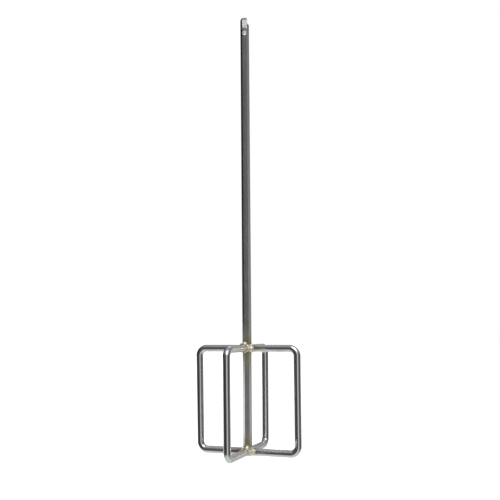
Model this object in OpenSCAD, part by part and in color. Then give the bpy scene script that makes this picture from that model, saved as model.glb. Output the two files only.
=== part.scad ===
// Mortar mixing paddle: a hexagonal drill shaft with a cage head of four bent round rods,
// each welded to the shaft at its two ends.
// Millimetres, +Z up the shaft, origin under the centre of the head.

/* [Shaft] */
// Overall length, from the underside of the head to the tip
overall_len = 571; // [400:1:700]
// Width of the hexagonal bar across its flats
bar_af = 10; // [10:0.5:14]
// Direction that the drilled flat of the bar faces, seen from above
bar_turn = -73.4; // [-73.5:0.1:-60]
// Length of the chamfer at the tip, along the shaft
tip_chamfer_len = 2.5; // [1:0.5:5]
// Depth of the chamfer at the tip, across the shaft
tip_chamfer_depth = 1.25; // [1:0.25:3]

/* [Shank end] */
// Diameter of the hole through the shank
cross_hole_d = 6; // [3:0.5:6]
// Distance from the tip to the middle of the cross hole
cross_hole_down = 21.5; // [20:0.5:40]
// Length of the flat ground on the drilled side
relief_len = 15.5; // [12:0.5:16]
// Depth of that flat at its lower end
relief_depth = 0.6; // [0.3:0.1:1]
// Slope of that flat, in towards the tip
relief_slope = 4; // [0:0.5:6]
// Slant of the groove in which that flat ends
relief_tilt = 22; // [0:1:25]
// Length of the notch in the corner of the bar
notch_len = 8.5; // [4:0.5:12]
// Distance from the shaft's centreline to the floor of the notch
notch_floor = 3.2; // [3:0.1:5]

/* [Cage head] */
// Width over the outside of the head
head_w = 142; // [100:1:180]
// Height of the head
head_h = 137; // [100:1:180]
// Diameter of the round rods
rod_d = 9; // [6:0.5:10]
// Radius of the bends, at the middle of the rod
bend_r = 9.5; // [8:0.5:20]

/* [Welds] */
// How far a weld bead stands out from the rod, at the shaft
bead_leg = 2.1; // [1:0.1:3]
// How far a weld bead runs along the rod at its full width
bead_full = 2.2; // [1:0.1:3]
// How far a weld bead then tapers along the rod
bead_taper = 2.6; // [1:0.1:4]
// Height of the bottom welds above the ground that the rods stand on
ground_gap = 0.5; // [0.3:0.1:1.5]

/* [Hidden] */
$fn = 96;

bar_corner_r = bar_af / 2 / cos(30);
tip_r = bar_corner_r - tip_chamfer_depth;
cross_hole_z = overall_len - cross_hole_down;
relief_z = overall_len - relief_len;
notch_z = overall_len - notch_len;
groove_r = 1;
past = 1;

rod_r = rod_d / 2;
reach = head_w / 2 - rod_r;
low_z = rod_r;
high_z = head_h - rod_r;
arm_end = reach - bend_r;

bead_r = rod_r + bead_leg;
bead_root = bar_af / 2 - bead_full;
bead_shoulder = bar_corner_r + bead_full;
bead_tip = bead_shoulder + bead_taper;

// Bar stock: a flat of the hexagon faces +X before the bar is turned
module bar_stock(length) {
    rotate([0, 0, 30])
        cylinder(r = bar_corner_r, h = length, $fn = 6);
}

// Everything inside the chamfered tip, turned about the shaft's centreline
module tip_envelope() {
    cylinder(r = bar_corner_r + past, h = overall_len - tip_chamfer_len);
    translate([0, 0, overall_len - tip_chamfer_len])
        cylinder(r1 = bar_corner_r, r2 = tip_r, h = tip_chamfer_len);
}

// Square notch in one corner, open at the tip
module notch_cut() {
    translate([-bar_af, notch_floor, notch_z])
        cube([2 * bar_af, bar_af, notch_len + past]);
}

// Shallow sloping flat on the drilled side, ending in a slanting cutter groove
module relief_cut() {
    floor_x = bar_af / 2 - relief_depth;
    translate([floor_x, -bar_af, relief_z])
        rotate([0, -relief_slope, 0])
            cube([bar_af, 2 * bar_af, relief_len + 2 * past]);
    translate([floor_x + groove_r / 2, 0, relief_z])
        rotate([90 - relief_tilt, 0, 0])
            cylinder(r = groove_r, h = 2 * bar_af, center = true);
}

// Hole straight through the two opposite flats
module cross_hole_cut() {
    translate([0, 0, cross_hole_z])
        rotate([0, 90, 0])
            cylinder(d = cross_hole_d, h = 2 * bar_af, center = true);
}

module shaft() {
    color([0.74, 0.74, 0.73])
        rotate([0, 0, bar_turn])
            difference() {
                intersection() {
                    bar_stock(overall_len);
                    tip_envelope();
                }
                notch_cut();
                relief_cut();
                cross_hole_cut();
            }
}

// One end of a loop: a straight arm from the shaft, and the bend that follows it
module arm_and_bend(z, up) {
    translate([rod_r, 0, z])
        rotate([0, 90, 0])
            cylinder(r = rod_r, h = arm_end - rod_r);
    translate([arm_end, 0, z + up * bend_r])
        rotate([90, 0, 0])
            rotate([0, 0, up > 0 ? -90 : 0])
                rotate_extrude(angle = 90)
                    translate([bend_r, 0])
                        circle(r = rod_r);
}

// A round rod bent into a square loop that faces +X, its ends coped to the bar
module rod_loop() {
    difference() {
        union() {
            arm_and_bend(low_z, 1);
            arm_and_bend(high_z, -1);
            translate([reach, 0, low_z + bend_r])
                cylinder(r = rod_r, h = high_z - low_z - 2 * bend_r);
        }
        children();
    }
}

// The space that the bar takes up through the head, seen from a loop at this turn
module bar_space(turn) {
    rotate([0, 0, bar_turn - turn])
        translate([0, 0, -past])
            bar_stock(2 * head_h);
}

module loop_at(turn) {
    color([0.80, 0.80, 0.79])
        rotate([0, 0, turn])
            rod_loop()
                bar_space(turn);
}

// Quarter of the space round the shaft, in which one loop's welds lie
module quarter() {
    translate([0, 0, ground_gap])
        linear_extrude(height = 2 * head_h)
            polygon([[0, 0], [head_w, -head_w], [head_w, head_w]]);
}

// Fillet bead round the end of an arm, within its quarter and above the ground
module bead(z) {
    translate([0, 0, z])
        rotate([0, 90, 0])
            rotate_extrude()
                polygon([
                    [rod_r, bead_root],
                    [bead_r, bead_root],
                    [bead_r, bead_shoulder],
                    [rod_r, bead_tip],
                ]);
}

module weld_at(turn, z) {
    color([0.62, 0.58, 0.48])
        rotate([0, 0, turn])
            difference() {
                intersection() {
                    bead(z);
                    quarter();
                }
                bar_space(turn);
            }
}

shaft();
loop_at(0);  // loop_right
loop_at(90);  // loop_back
loop_at(180);  // loop_left
loop_at(270);  // loop_front
weld_at(0, high_z);  // weld_right_top
weld_at(90, high_z);  // weld_back_top
weld_at(180, high_z);  // weld_left_top
weld_at(270, high_z);  // weld_front_top
weld_at(0, low_z);  // weld_right_bottom
weld_at(90, low_z);  // weld_back_bottom
weld_at(180, low_z);  // weld_left_bottom
weld_at(270, low_z);  // weld_front_bottom
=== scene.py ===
"""A mortar mixing paddle: bright plated steel, with a hexagonal shaft and a cage of welded rod loops.

Metres, in the frame's own axes: +Z up the shaft, the ground at 0.
"""

import math
import random

import bmesh
import bpy
from mathutils import Matrix, Vector, noise


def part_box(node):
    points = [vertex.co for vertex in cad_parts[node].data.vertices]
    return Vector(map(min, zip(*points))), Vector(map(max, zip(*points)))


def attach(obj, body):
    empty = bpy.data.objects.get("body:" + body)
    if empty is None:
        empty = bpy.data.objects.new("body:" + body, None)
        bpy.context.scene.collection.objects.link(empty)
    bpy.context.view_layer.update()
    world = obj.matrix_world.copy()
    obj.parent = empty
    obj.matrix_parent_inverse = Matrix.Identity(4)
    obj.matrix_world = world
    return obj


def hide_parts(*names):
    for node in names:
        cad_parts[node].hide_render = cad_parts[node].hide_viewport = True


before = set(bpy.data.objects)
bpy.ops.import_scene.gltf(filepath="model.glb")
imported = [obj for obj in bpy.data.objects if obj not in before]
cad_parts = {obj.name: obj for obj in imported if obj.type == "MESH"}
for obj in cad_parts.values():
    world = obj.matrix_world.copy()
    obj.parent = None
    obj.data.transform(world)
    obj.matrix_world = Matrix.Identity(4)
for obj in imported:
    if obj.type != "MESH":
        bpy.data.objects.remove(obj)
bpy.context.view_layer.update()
MM = 0.001

# The camera, in degrees and metres
VIEW_AZIMUTH = 21.64        # round the shaft, 0 being the front
CAMERA_DISTANCE = 0.884     # across the ground, from the shaft's centreline
CAMERA_HEIGHT = 0.1563
AIM_RIGHT = 0.31            # how far the camera aims to the right of the shaft
AIM_UP = 6.574              # how far it aims above the level
CAMERA_ROLL = 0.464         # clockwise turn of the picture
LENS = 49.54                # focal length and sensor width, in mm
SENSOR = 36.0

# The paddle, read from the frame
shaft_low, shaft_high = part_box("shaft")
loop_low, loop_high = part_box("loop_right")
ROD_R = (loop_high.y - loop_low.y) / 2
REACH = loop_high.x - ROD_R
LOW_Z = loop_low.z + ROD_R
HIGH_Z = loop_high.z - ROD_R

# The paddle's other sizes, which the frame doesn't say
BEND_R = 9.5 * MM
BAR_TURN = -73.4            # degrees, the way the drilled flat of the bar faces
BAR_FLAT = 5.0 * MM         # from the centreline to a flat of the bar
BAR_CORNER_BEVEL = 0.35 * MM
GROOVE_DOWN = 15.5 * MM     # the slanting groove, below the tip
GROOVE_TILT = 22.0          # degrees
TURNS = {"right": 0, "back": 90, "left": 180, "front": 270}

# How far in each upright leans at its foot, in mm
LEAN = {"right": 0.4, "back": 1.6, "left": 1.9, "front": 1.4}


# ---------------------------------------------------------------- node helpers

class Nodes:
    """Short calls for building a material's or a world's node tree."""

    def __init__(self, owner):
        owner.use_nodes = True
        self.tree = owner.node_tree
        self.tree.nodes.clear()

    def add(self, kind, **values):
        node = self.tree.nodes.new(kind)
        for key, value in values.items():
            setattr(node, key, value)
        return node

    def put(self, socket, value):
        if isinstance(value, bpy.types.NodeSocket):
            self.tree.links.new(value, socket)
        else:
            socket.default_value = value

    def surface(self, output_kind, shader):
        self.put(self.add(output_kind).inputs["Surface"], shader)

    def math(self, operation, a, b=0.0):
        node = self.add("ShaderNodeMath", operation=operation)
        self.put(node.inputs[0], a)
        self.put(node.inputs[1], b)
        return node.outputs[0]

    def weighted(self, a, by_a, b, by_b):
        """a * by_a + b * by_b"""
        return self.math("ADD", self.math("MULTIPLY", a, by_a), self.math("MULTIPLY", b, by_b))

    def dot(self, a, b):
        node = self.add("ShaderNodeVectorMath", operation="DOT_PRODUCT")
        self.put(node.inputs[0], a)
        self.put(node.inputs[1], b)
        return node.outputs["Value"]

    def split(self, vector):
        node = self.add("ShaderNodeSeparateXYZ")
        self.put(node.inputs[0], vector)
        return node.outputs

    def mix(self, factor, a, b):
        node = self.add("ShaderNodeMix", data_type="RGBA")
        self.put(node.inputs[0], factor)
        self.put(node.inputs[6], a)
        self.put(node.inputs[7], b)
        return node.outputs[2]

    def mix_shaders(self, factor, a, b):
        node = self.add("ShaderNodeMixShader")
        self.put(node.inputs[0], factor)
        self.put(node.inputs[1], a)
        self.put(node.inputs[2], b)
        return node.outputs[0]

    def ramp(self, factor, stops, interpolation="LINEAR"):
        node = self.add("ShaderNodeValToRGB")
        node.color_ramp.interpolation = interpolation
        elements = node.color_ramp.elements
        while len(elements) < len(stops):
            elements.new(0.5)
        for element, (position, color) in zip(elements, stops):
            element.position = position
            element.color = (*color, 1)
        self.put(node.inputs[0], factor)
        return node.outputs[0]

    def noise(self, vector, scale, detail=2.0, roughness=0.5):
        node = self.add("ShaderNodeTexNoise")
        self.put(node.inputs["Vector"], vector)
        self.put(node.inputs["Scale"], scale)
        self.put(node.inputs["Detail"], detail)
        self.put(node.inputs["Roughness"], roughness)
        return node.outputs["Fac"]

    def stretch(self, vector, scale):
        node = self.add("ShaderNodeMapping", vector_type="POINT")
        self.put(node.inputs["Vector"], vector)
        self.put(node.inputs["Scale"], scale)
        return node.outputs["Vector"]

    def range(self, value, low, high, to_low=0.0, to_high=1.0):
        """Eases from to_low at low to to_high at high. low may be the greater of the two."""
        node = self.add("ShaderNodeMapRange", interpolation_type="SMOOTHSTEP")
        self.put(node.inputs["Value"], value)
        self.put(node.inputs["From Min"], low)
        self.put(node.inputs["From Max"], high)
        self.put(node.inputs["To Min"], to_low)
        self.put(node.inputs["To Max"], to_high)
        return node.outputs[0]


def grey(level):
    return (level, level, level)


# ---------------------------------------------------------------- materials

PLATING = (0.80, 0.80, 0.785)
CLOUDED = 0.93              # what is left of the plating's brightness in its cloudy patches
WORN = (0.55, 0.55, 0.54)
STRAW = (0.65, 0.61, 0.42)  # heat tint, and the browner tint nearest the weld
BROWN = (0.38, 0.355, 0.22)
# near-black painted shade: the groove's painted shadow line and the darkened tip and flank of the bar
PAINTED_SHADE_COLOR = (0.10, 0.10, 0.105)
WORN_AMOUNT = 0.25          # how much of each color covers what is under it
STRAW_AMOUNT = 0.80
BROWN_AMOUNT = 0.65

# The plating's three noises: their scales per metre, and the levels between which they act on the color
LINES_SCALE = (1400, 1400, 12)      # long along the steel, fine across it
CLOUD_SCALE = 70.0
FINE_SCALE = 900.0
CLOUD_LEVELS = (0.35, 0.7)
WORN_LEVELS = (0.58, 0.75)

# How the plating's roughness varies with the drawing lines, with wear and with heat, and its relief
LINES_ROUGHER = 0.03
WORN_ROUGHER = 0.04
HEAT_ROUGHER = 0.10
FINE_RELIEF = 0.35          # beside the drawing lines' 1
CLOUD_RELIEF = 0.8
STEEL_BUMP = (0.35, 0.06 * MM)      # strength and depth

# Weld metal
WELD_COLORS = [(0.28, (0.76, 0.70, 0.54)), (0.42, (0.93, 0.88, 0.74)), (0.66, (0.97, 0.93, 0.81))]
WELD_METALLIC = 0.80
WELD_ROUGHNESS = (0.40, 0.52)
WELD_BUMP = (0.3, 0.04 * MM)        # strength and depth
PATCH_SCALE = 260.0
PATCH_RELIEF = 1.5          # beside the skin's 1
SKIN_SCALE = 1500.0

# Heat tint: distances from a joint's middle, where it has faded out and where it is full
TINT_FULL = 6 * MM
BROWN_REACH = 19 * MM
BROWN_FULL = 7 * MM
TINT_WANDER = 22 * MM       # how far the cloudy patches push the tint's edge about

# Painted shade on the bar: a painted shadow line along the slanting groove, and painted shade on the chamfer
# and down one flank near the tip. Each pair is where it begins and where it is full
GROOVE_EDGE = (1.5 * MM, 0.9 * MM)          # from the groove's middle
GROOVED_SIDE = (3.0 * MM, 3.6 * MM)         # out from the centreline, on the drilled side
CHAMFER_DOWN = (2.9 * MM, 2.3 * MM)         # below the tip
FLANK_DOWN = (14 * MM, 12 * MM)             # below the tip
FLANK_SIDE = (-2.5 * MM, -3.2 * MM)         # across the drilled side
GROOVE_SHADOW = 0.9           # how dark the painted shade is in each place
CHAMFER_SHADE = 0.75
FLANK_SHADE = 0.85


def distance_to_joints(n, place):
    """Metres from a point on the steel to the nearer of the two welded joints."""
    x, y, z = n.split(place)
    flat = n.math("ADD", n.math("MULTIPLY", x, x), n.math("MULTIPLY", y, y))
    up = []
    for joint_z in (LOW_Z, HIGH_Z):
        rise = n.math("SUBTRACT", z, joint_z)
        up.append(n.math("MULTIPLY", rise, rise))
    nearer = n.math("MINIMUM", up[0], up[1])
    return n.math("SQRT", n.math("ADD", flat, nearer))


def shank_painted_shade(n, place):
    """Painted shade on the bar, 0 to 1: a painted shadow line in the slanting groove below the tip, and
    painted shade on the chamfer and down one flank.
    """
    x, y, z = n.split(place)
    turn = math.radians(BAR_TURN)
    across = n.weighted(x, -math.sin(turn), y, math.cos(turn))
    outward = n.weighted(x, math.cos(turn), y, math.sin(turn))
    slant = n.math("MULTIPLY", across, math.tan(math.radians(GROOVE_TILT)))
    above_groove = n.math("SUBTRACT", z, shaft_high.z - GROOVE_DOWN)
    off = n.math("ABSOLUTE", n.math("ADD", slant, above_groove))
    # a painted shadow line along the slanting groove's edge
    groove = n.math("MULTIPLY", n.range(off, *GROOVE_EDGE), n.range(outward, *GROOVED_SIDE))
    # painted shade on the chamfer at the tip, and down one flank below it
    end = n.range(z, *[shaft_high.z - down for down in CHAMFER_DOWN])
    flank = n.math("MULTIPLY", n.range(z, *[shaft_high.z - down for down in FLANK_DOWN]),
                   n.range(across, *FLANK_SIDE))
    patches = n.math("MAXIMUM", n.math("MULTIPLY", end, CHAMFER_SHADE), n.math("MULTIPLY", flank, FLANK_SHADE))
    return n.math("MAXIMUM", n.math("MULTIPLY", groove, GROOVE_SHADOW), patches)


def steel_surface(n, color, metallic, roughness, relief, bump_size):
    """The metal's own shader, with its fine relief as a bump of the given strength and depth."""
    strength, depth = bump_size
    bump = n.add("ShaderNodeBump")
    n.put(bump.inputs["Strength"], strength)
    n.put(bump.inputs["Distance"], depth)
    n.put(bump.inputs["Height"], relief)
    steel = n.add("ShaderNodeBsdfPrincipled")
    n.put(steel.inputs["Base Color"], color)
    n.put(steel.inputs["Metallic"], metallic)
    n.put(steel.inputs["Roughness"], roughness)
    n.put(steel.inputs["Normal"], bump.outputs[0])
    n.surface("ShaderNodeOutputMaterial", steel.outputs[0])


def plated_steel(name, tint_reach, roughness, straightened=False):
    """Bright plated steel: drawing lines along the bar, cloudy plating, wear, and heat tint near the welds.
    A bent rod carries the attribute "straight", the place each point had before the rod was bent.
    The straight bar has none, and only it has the shank's painted shade."""
    material = bpy.data.materials.new(name)
    n = Nodes(material)
    place = n.add("ShaderNodeTexCoord").outputs["Object"]
    drawn = place
    if straightened:
        drawn = n.add("ShaderNodeAttribute", attribute_name="straight").outputs["Vector"]
    lines = n.noise(n.stretch(drawn, LINES_SCALE), 1.0, detail=4.0, roughness=0.6)
    cloud = n.noise(place, CLOUD_SCALE, detail=4.0, roughness=0.6)
    fine = n.noise(place, FINE_SCALE, detail=3.0, roughness=0.65)
    wander = n.math("MULTIPLY", n.math("SUBTRACT", cloud, 0.5), TINT_WANDER)
    away = n.math("ADD", distance_to_joints(n, place), wander)

    heat = n.range(away, tint_reach, TINT_FULL)
    deep = n.range(away, BROWN_REACH, BROWN_FULL)
    clean = n.mix(n.range(cloud, *CLOUD_LEVELS), (*[c * CLOUDED for c in PLATING], 1), (*PLATING, 1))
    worn = n.mix(n.math("MULTIPLY", n.range(fine, *WORN_LEVELS), WORN_AMOUNT), clean, (*WORN, 1))
    straw = n.mix(n.math("MULTIPLY", heat, STRAW_AMOUNT), worn, (*STRAW, 1))
    color = n.mix(n.math("MULTIPLY", deep, BROWN_AMOUNT), straw, (*BROWN, 1))
    if not straightened:
        # painted shade: near-black painted into the groove, onto the tip and down one flank of the bar
        color = n.mix(shank_painted_shade(n, place), color, (*PAINTED_SHADE_COLOR, 1))

    rough = n.math("ADD", n.range(lines, 0.3, 0.7, roughness - LINES_ROUGHER, roughness + LINES_ROUGHER),
                   n.range(fine, 0.45, 0.75, 0.0, WORN_ROUGHER))
    rough = n.math("ADD", rough, n.math("MULTIPLY", heat, HEAT_ROUGHER))
    relief = n.math("ADD", lines, n.weighted(fine, FINE_RELIEF, cloud, CLOUD_RELIEF))
    steel_surface(n, color, 1.0, rough, relief, STEEL_BUMP)
    return material


def weld_metal(name):
    """Plated weld metal: patches of straw on pale metal, with a fine orange-peel skin."""
    material = bpy.data.materials.new(name)
    n = Nodes(material)
    place = n.add("ShaderNodeTexCoord").outputs["Object"]
    patches = n.noise(place, PATCH_SCALE, detail=3.0)
    skin = n.noise(place, SKIN_SCALE, detail=3.0, roughness=0.6)
    relief = n.math("ADD", skin, n.math("MULTIPLY", patches, PATCH_RELIEF))
    rough = n.range(skin, 0.3, 0.7, *WELD_ROUGHNESS)
    steel_surface(n, n.ramp(patches, WELD_COLORS), WELD_METALLIC, rough, relief, WELD_BUMP)
    return material


# ---------------------------------------------------------------- pieces

SAME_POINT = 1e-6           # metres
SAME_FLAT = 0.5             # degrees between two faces of one flat
SHARP_EDGE = 20             # degrees between two flats

ROD_SIDES = 48              # points round a rod
BEND_STEPS = 16
RING_SPACING = 4 * MM       # between the rings of points along a straight stretch
ARM_START = ROD_R * 0.6     # where the arms begin, inside the bar

# A rod's section where it bends, and the slight unevenness along it
BEND_FLATTENED = 0.035
BEND_WIDENED = 0.012
BEND_PULLED_IN = 0.12 * MM
ROD_WAVE = 0.08 * MM
WAVE_INWARD = 0.6           # added to the noise, so that the wave mostly pulls the rod inwards
WAVE_STEP = 0.11            # of the noise, from one ring to the next
WAVE_APART = 7.3            # of the noise, from one rod to the next

# A bead's ring of puddles round the rod
PUDDLES = 9
PUDDLE_JITTER = 0.25        # of the step from one to the next
PUDDLE_SIZES = (0.9, 1.1)
PUDDLE_OUT = (0.9, 1.5)     # from the flat of the bar, in mm
PUDDLE_SPIN = 0.4           # radians
PUDDLE_INSET = 0.5 * MM     # from the rod's surface in to a puddle's middle
PUDDLE_LONG = 2.2 * MM      # radius along the rod
PUDDLE_ROUND = 1.9 * MM     # radius across it
ROOT_LONG = 2.0 * MM        # radius of the lump that fills the middle of the bead

# How a bead's lumps melt into one skin
VOXEL = 0.32 * MM
SOFTENING = 8               # smoothing passes
UNEVEN = 0.06 * MM
UNEVEN_SPACING = 1.8 * MM
OFF_GROUND = 0.25 * MM

# Extra lumps of weld metal at each joint: middle out along the arm, across it and up, then three radii, in mm
LUMPS = {
    ("front", "top"): [(6.6, -0.7, 5.0, 3.3, 3.6, 3.1), (5.8, -3.2, 4.0, 2.2, 2.4, 2.0)],
    ("right", "top"): [(5.2, -2.6, 3.4, 2.0, 2.2, 1.6), (7.2, -4.6, -0.8, 4.1, 3.8, 4.4)],
    ("back", "top"): [(6.4, 1.5, 4.5, 2.4, 2.8, 2.0)],
    ("left", "top"): [(6.0, 2.4, 4.1, 2.6, 2.8, 2.4)],
    ("front", "bottom"): [(7.0, 1.5, 4.7, 3.4, 3.4, 3.1)],
    ("right", "bottom"): [(8.6, -4.2, 1.2, 3.6, 3.4, 3.6), (5.6, -4.4, -1.0, 2.4, 2.4, 2.0)],
    ("back", "bottom"): [(6.6, -1.8, 4.4, 2.5, 2.6, 2.1)],
    ("left", "bottom"): [(6.0, 1.8, 4.0, 2.6, 2.8, 2.2)],
}


def new_object(name, bm, material):
    """Links a finished mesh with one material into the scene."""
    mesh = bpy.data.meshes.new(name)
    bm.to_mesh(mesh)
    bm.free()
    mesh.materials.append(material)
    made = bpy.data.objects.new(name, mesh)
    bpy.context.scene.collection.objects.link(made)
    return made


def new_piece(name, bm, material, node):
    """A piece of the paddle that stands for one CAD node: it is parented to the root body, and the node is
    hidden.
    """
    piece = new_object(name, bm, material)
    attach(piece, "root")
    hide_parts(node)
    return piece


def make_shaft(material):
    """The bar: the CAD solid with its flats merged and every edge broken by a small radius."""
    bm = bmesh.new()
    bm.from_mesh(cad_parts["shaft"].data)
    bmesh.ops.remove_doubles(bm, verts=bm.verts, dist=SAME_POINT)
    bmesh.ops.dissolve_limit(bm, angle_limit=math.radians(SAME_FLAT), verts=bm.verts, edges=bm.edges)
    limit = math.radians(SHARP_EDGE)
    sharp = [e for e in bm.edges if len(e.link_faces) == 2 and e.calc_face_angle(0) > limit]
    bmesh.ops.bevel(bm, geom=sharp, offset=BAR_CORNER_BEVEL, offset_type="OFFSET", segments=3,
                    profile=0.5, affect="EDGES", clamp_overlap=True)
    piece = new_piece("shaft_bar", bm, material, "shaft")
    piece.data.shade_smooth()
    even = piece.modifiers.new("even_normals", "WEIGHTED_NORMAL")
    even.keep_sharp = True
    even.weight = 100


def loop_path():
    """Centreline of a loop that faces +X: arm, bend, upright, bend, arm."""
    points = []

    def straight(a, b):
        steps = max(2, round((b - a).length / RING_SPACING))
        for i in range(steps):
            points.append(a.lerp(b, i / steps))

    def bend(center, from_angle):
        for i in range(BEND_STEPS):
            a = from_angle + math.radians(90) * i / BEND_STEPS
            points.append(center + BEND_R * Vector((math.cos(a), 0, math.sin(a))))

    arm_end = REACH - BEND_R
    straight(Vector((ARM_START, 0, LOW_Z)), Vector((arm_end, 0, LOW_Z)))
    bend(Vector((arm_end, 0, LOW_Z + BEND_R)), math.radians(-90))
    straight(Vector((REACH, 0, LOW_Z + BEND_R)), Vector((REACH, 0, HIGH_Z - BEND_R)))
    bend(Vector((arm_end, 0, HIGH_Z - BEND_R)), 0)
    straight(Vector((arm_end, 0, HIGH_Z)), Vector((ARM_START, 0, HIGH_Z)))
    points.append(Vector((ARM_START, 0, HIGH_Z)))
    return points


def make_loop(side, material, seed):
    """A bent rod: a round section swept round the loop, a little flattened and pulled in at its bends."""
    path = loop_path()
    turn = Matrix.Rotation(math.radians(TURNS[side]), 4, "Z")
    lean = LEAN[side] * MM
    bm = bmesh.new()
    straight = bm.verts.layers.float_vector.new("straight")
    rings = []
    along = 0.0
    for i, p in enumerate(path):
        before = path[max(i - 1, 0)]
        along += (p - before).length
        ahead = (path[min(i + 1, len(path) - 1)] - before).normalized()
        outward = Vector((ahead.z, 0, -ahead.x))
        bending = 4 * abs(ahead.x * ahead.z) ** 2
        wave = noise.noise(Vector((seed * WAVE_APART, i * WAVE_STEP, 0)))
        ring = []
        for k in range(ROD_SIDES):
            a = 2 * math.pi * k / ROD_SIDES
            out = math.cos(a) * ROD_R * (1 - BEND_FLATTENED * bending) - BEND_PULLED_IN * bending
            sideways = math.sin(a) * ROD_R * (1 + BEND_WIDENED * bending)
            v = p + outward * out + Vector((0, sideways, 0))
            v -= outward * ROD_WAVE * (wave + WAVE_INWARD)
            v.x -= lean * (v.x / REACH) * (HIGH_Z - v.z) / (HIGH_Z - LOW_Z)
            vert = bm.verts.new(turn @ v)
            vert[straight] = Vector((math.cos(a) * ROD_R, math.sin(a) * ROD_R, along + seed))
            ring.append(vert)
        rings.append(ring)
    for a, b in zip(rings, rings[1:]):
        for k in range(ROD_SIDES):
            after = (k + 1) % ROD_SIDES
            bm.faces.new((a[k], a[after], b[after], b[k]))
    bm.faces.new(list(reversed(rings[0])))
    bm.faces.new(rings[-1])
    bmesh.ops.recalc_face_normals(bm, faces=bm.faces)
    piece = new_piece("rod_" + side, bm, material, "loop_" + side)
    piece.data.shade_smooth()


def add_lump(bm, center, radii, spin=0.0):
    """An ellipsoid of weld metal, later melted into its neighbours. spin turns it about the upright."""
    move = Matrix.Translation(center) @ Matrix.Rotation(spin, 4, "Z") @ Matrix.Diagonal((*radii, 1))
    bmesh.ops.create_icosphere(bm, subdivisions=3, radius=1.0, matrix=move)


def make_weld(side, level, material, lumps, seed):
    """A hand-laid bead round the end of one arm: overlapping puddles, melted together by a voxel remesh."""
    rng = random.Random(seed)
    z = HIGH_Z if level == "top" else LOW_Z
    radial = ROD_R - PUDDLE_INSET
    bm = bmesh.new()
    for k in range(PUDDLES):
        a = 2 * math.pi * (k + rng.uniform(-PUDDLE_JITTER, PUDDLE_JITTER)) / PUDDLES
        size = rng.uniform(*PUDDLE_SIZES)
        along = BAR_FLAT + rng.uniform(*PUDDLE_OUT) * MM
        center = Vector((along, math.cos(a) * radial, math.sin(a) * radial))
        radii = (PUDDLE_LONG * size, PUDDLE_ROUND * size, PUDDLE_ROUND * size)
        add_lump(bm, center, radii, rng.uniform(-PUDDLE_SPIN, PUDDLE_SPIN))
    for lump in lumps:
        add_lump(bm, Vector(lump[:3]) * MM, Vector(lump[3:]) * MM)
    add_lump(bm, Vector((BAR_FLAT, 0, 0)), (ROOT_LONG, ROD_R, ROD_R))
    turn = Matrix.Rotation(math.radians(TURNS[side]), 4, "Z")
    bmesh.ops.transform(bm, matrix=turn @ Matrix.Translation((0, 0, z)), verts=bm.verts)
    melt(new_piece(f"bead_{side}_{level}", bm, material, f"weld_{side}_{level}"), seed)


def melt(piece, seed):
    """Joins a weld's lumps into one smooth, slightly uneven skin that stays clear of the ground."""
    voxels = piece.modifiers.new("melt", "REMESH")
    voxels.mode = "VOXEL"
    voxels.voxel_size = VOXEL
    smooth = piece.modifiers.new("soften", "SMOOTH")
    smooth.iterations = SOFTENING
    smooth.factor = 0.5
    graph = bpy.context.evaluated_depsgraph_get()
    mesh = bpy.data.meshes.new_from_object(piece.evaluated_get(graph))
    piece.modifiers.clear()
    old = piece.data
    for v in mesh.vertices:
        at = v.co / UNEVEN_SPACING + Vector((seed, 0, 0))
        v.co += v.normal * UNEVEN * noise.noise(at)
        v.co.z = max(v.co.z, OFF_GROUND)
    piece.data = mesh
    bpy.data.meshes.remove(old)
    mesh.shade_smooth()


# ---------------------------------------------------------------- stage

FLOOR_HALF = 6.0            # half the floor's width
FLOOR_Z = -0.2 * MM         # just below the rods
FLOOR_PAINT = (0.86, 0.865, 0.865)
FLOOR_GLOW = 0.95           # how bright the floor is of itself

# What the steel reflects of the studio, going round the object: degrees right of the camera, and brightness
RING_LOW = [
    (-180, 0.62), (-150, 0.85), (-130, 0.85), (-112, 0.15), (-76, 0.03), (-45, 0.05), (-24, 0.07),
    (-10, 0.13), (-2, 0.66), (10, 0.66), (26, 0.42), (42, 0.15), (60, 0.04), (76, 0.06), (94, 0.20),
    (106, 0.42), (125, 0.48), (150, 0.52), (180, 0.62),
]
RING_MIDDLE = [
    (-180, 0.45), (-168, 0.14), (-150, 0.03), (-76, 0.02), (-48, 0.12), (-26, 0.06), (-11, 0.055),
    (-2, 0.68), (9, 0.68), (26, 0.38), (44, 0.14), (60, 0.05), (78, 0.06), (100, 0.18), (115, 0.30),
    (140, 0.36), (180, 0.45),
]
RING_HIGH = [
    (-180, 0.40), (-165, 0.08), (-150, 0.02), (-120, 0.02), (-90, 0.06), (-45, 0.14), (-10, 0.09),
    (0, 0.62), (24, 0.60), (60, 0.16), (100, 0.20), (158, 0.40), (180, 0.40),
]
OVERHEAD = (0.37, 0.34, 0.405)
UNDERNEATH = (0.66, 0.72, 0.69)

# Where each of those gives way to the next: the upward part of the direction looked in
LOW_TO_MIDDLE = (-0.10, 0.02)
MIDDLE_TO_HIGH = (0.15, 0.40)
HIGH_TO_OVERHEAD = (0.40, 0.85)
LOW_TO_UNDERNEATH = (-0.30, -0.92)

# A big soft panel above and in front, in degrees right of the camera and up
PANEL_AZIMUTH = 15.0
PANEL_ELEVATION = 52.0
PANEL_COLOR = (2.12, 2.05, 2.20)
PANEL_EDGE = 30.0           # from its middle to where it fades out, and to where it is full
PANEL_FULL = 15.0


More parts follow.
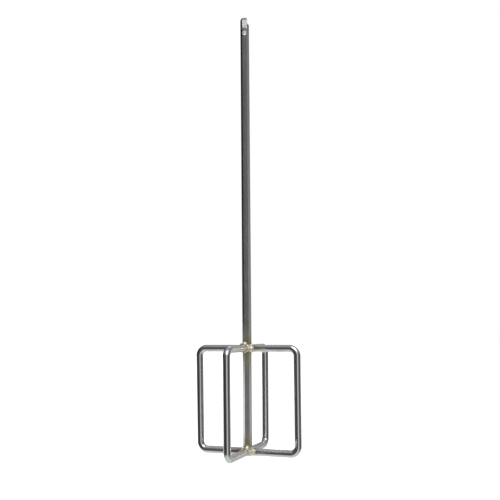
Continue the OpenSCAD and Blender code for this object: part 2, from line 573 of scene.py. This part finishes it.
def make_floor():
    """A plain pale floor. It shows from above only, so that the underside can be looked at,
    and the steel reflects the studio in its place."""
    bm = bmesh.new()
    corners = [(-1, -1), (1, -1), (1, 1), (-1, 1)]
    bm.faces.new([bm.verts.new((x * FLOOR_HALF, y * FLOOR_HALF, FLOOR_Z)) for x, y in corners])
    material = bpy.data.materials.new("floor")
    n = Nodes(material)
    paint = n.add("ShaderNodeBsdfDiffuse")
    n.put(paint.inputs["Color"], (*FLOOR_PAINT, 1))
    glow = n.add("ShaderNodeEmission")
    n.put(glow.inputs["Strength"], FLOOR_GLOW)
    lit = n.add("ShaderNodeAddShader")
    n.put(lit.inputs[0], paint.outputs[0])
    n.put(lit.inputs[1], glow.outputs[0])
    clear = n.add("ShaderNodeBsdfTransparent")
    from_above = n.math("SUBTRACT", 1.0, n.add("ShaderNodeNewGeometry").outputs["Backfacing"])
    seen = n.math("MULTIPLY", from_above, n.add("ShaderNodeLightPath").outputs["Is Camera Ray"])
    n.surface("ShaderNodeOutputMaterial", n.mix_shaders(seen, clear.outputs[0], lit.outputs[0]))
    new_object("floor", bm, material)


def make_studio():
    """A white room to the camera. The steel reflects soft panels and the darker gaps between them."""
    world = bpy.data.worlds.new("studio")
    bpy.context.scene.world = world
    n = Nodes(world)
    toward = n.add("ShaderNodeTexCoord").outputs["Generated"]
    a = math.radians(VIEW_AZIMUTH)
    to_front = n.dot(toward, (math.sin(a), -math.cos(a), 0))
    to_right = n.dot(toward, (math.cos(a), math.sin(a), 0))
    height = n.split(toward)[2]
    turn = n.math("MULTIPLY", n.math("ARCTAN2", to_right, to_front), 0.5 / math.pi)
    turn = n.math("ADD", turn, 0.5)

    def ring(stops):
        return n.ramp(turn, [(degrees / 360 + 0.5, grey(level)) for degrees, level in stops], "EASE")

    room = n.mix(n.range(height, *LOW_TO_MIDDLE), ring(RING_LOW), ring(RING_MIDDLE))
    room = n.mix(n.range(height, *MIDDLE_TO_HIGH), room, ring(RING_HIGH))
    room = n.mix(n.range(height, *HIGH_TO_OVERHEAD), room, (*OVERHEAD, 1))
    room = n.mix(n.range(height, *LOW_TO_UNDERNEATH), room, (*UNDERNEATH, 1))
    side, rise = math.radians(PANEL_AZIMUTH), math.radians(PANEL_ELEVATION)
    toward_panel = n.weighted(to_front, math.cos(side), to_right, math.sin(side))
    at_panel = n.weighted(toward_panel, math.cos(rise), height, math.sin(rise))
    soft_edge = n.range(at_panel, math.cos(math.radians(PANEL_EDGE)), math.cos(math.radians(PANEL_FULL)))
    room = n.mix(soft_edge, room, (*PANEL_COLOR, 1))

    def background(color):
        node = n.add("ShaderNodeBackground")
        n.put(node.inputs["Color"], color)
        return node.outputs[0]

    seen = n.add("ShaderNodeLightPath").outputs["Is Camera Ray"]
    n.surface("ShaderNodeOutputWorld", n.mix_shaders(seen, background(room), background((1, 1, 1, 1))))


def add_light(name, energy, size, location, aim, color):
    """A round soft light that points at aim."""
    light = bpy.data.lights.new(name, "AREA")
    light.energy = energy
    light.shape = "DISK"
    light.size = size
    light.color = color
    lamp = bpy.data.objects.new(name, light)
    lamp.location = location
    lamp.rotation_euler = (Vector(aim) - Vector(location)).to_track_quat("-Z", "Y").to_euler()
    bpy.context.scene.collection.objects.link(lamp)


def make_camera():
    a = math.radians(VIEW_AZIMUTH)
    heading = a - math.radians(AIM_RIGHT)
    up_angle = math.radians(AIM_UP)
    place = Vector((math.sin(a) * CAMERA_DISTANCE, -math.cos(a) * CAMERA_DISTANCE, CAMERA_HEIGHT))
    level = Vector((-math.sin(heading), math.cos(heading), 0))
    ahead = level * math.cos(up_angle) + Vector((0, 0, math.sin(up_angle)))
    side = ahead.cross(Vector((0, 0, 1))).normalized()
    side = Matrix.Rotation(math.radians(CAMERA_ROLL), 3, ahead) @ side
    up = side.cross(ahead)
    camera = bpy.data.cameras.new("camera")
    camera.lens = LENS
    camera.sensor_width = SENSOR
    camera.clip_start = 0.01
    camera.clip_end = 50
    view = bpy.data.objects.new("camera", camera)
    view.matrix_world = Matrix((side, up, -ahead)).transposed().to_4x4()
    view.location = place
    bpy.context.scene.collection.objects.link(view)
    bpy.context.scene.camera = view


bpy.context.scene.view_settings.view_transform = "Standard"
make_camera()
bar_steel = plated_steel("plated_bar", tint_reach=34 * MM, roughness=0.12)
rod_steel = plated_steel("plated_rod", tint_reach=26 * MM, roughness=0.11, straightened=True)
bead_steel = weld_metal("weld_bead")
make_shaft(bar_steel)
for number, side in enumerate(TURNS):
    make_loop(side, rod_steel, number)
    for level in ("top", "bottom"):
        make_weld(side, level, bead_steel, LUMPS[side, level], number * 2 + (level == "top"))
make_floor()
make_studio()
add_light("softbox", energy=12, size=1.0, location=(0.75, -1.55, 2.2), aim=(0, 0, 0.1),
          color=(1.0, 0.98, 0.93))
bpy.context.view_layer.update()
